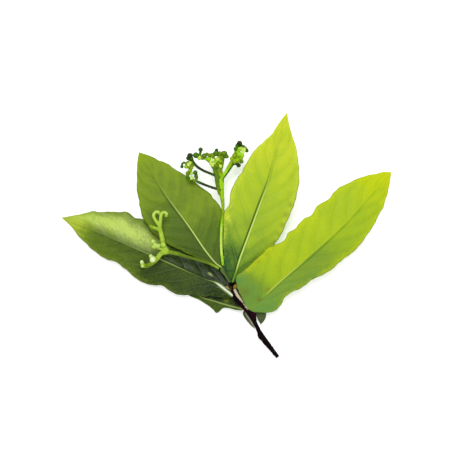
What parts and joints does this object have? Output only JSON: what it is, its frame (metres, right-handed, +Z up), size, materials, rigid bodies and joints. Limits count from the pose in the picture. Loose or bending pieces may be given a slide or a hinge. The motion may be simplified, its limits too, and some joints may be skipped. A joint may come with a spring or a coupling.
{
  "type": "camphor leaf sprig",
  "caption": "Cut leafy sprig of camphor laurel with a short woody twig, broad glossy leaves and young flower sprays, lying flat on a surface.",
  "frame": {"origin": "on the surface that the sprig lies on, under the middle of its outline", "axes": "+Z up from the surface, +X along the widest spread from the left leaf's tip to the right leaf's tip, +Y from the cut end towards the tall leaf's tip"},
  "size_m": [0.1487, 0.1104, 0.0155],
  "materials": {
    "bark": "near black brown bark, matt, with paler streaks where it has worn",
    "shoot": "smooth green young bark",
    "leaf_dark": "waxy dark green upper face with a soft gloss",
    "leaf_olive": "waxy olive green upper face with a pale midrib",
    "leaf_bright": "waxy yellow-green upper face, yellower at the margin and tip",
    "leaf_yellow": "waxy yellow-green upper face, yellower at the margin and tip",
    "leaf_dark_small": "waxy dark green upper face",
    "leaf_dull": "dull grey-green face",
    "dry_scale": "dry pale grey-green scale",
    "spray_green": "smooth green stalks with darker round buds",
    "spray_pale": "smooth pale yellow-green stalks"
  },
  "bodies": {
    "root": {"twig": "bark", "green_shoot": "shoot", "leaf_left": "leaf_dark", "leaf_upper_left": "leaf_olive", "leaf_upper_right": "leaf_bright", "leaf_right": "leaf_yellow", "leaf_small_left": "leaf_dark_small", "leaf_small_right": "leaf_dull", "bract": "dry_scale", "spray_upper": "spray_green", "spray_left": "spray_pale"}
  },
  "joints": []
}
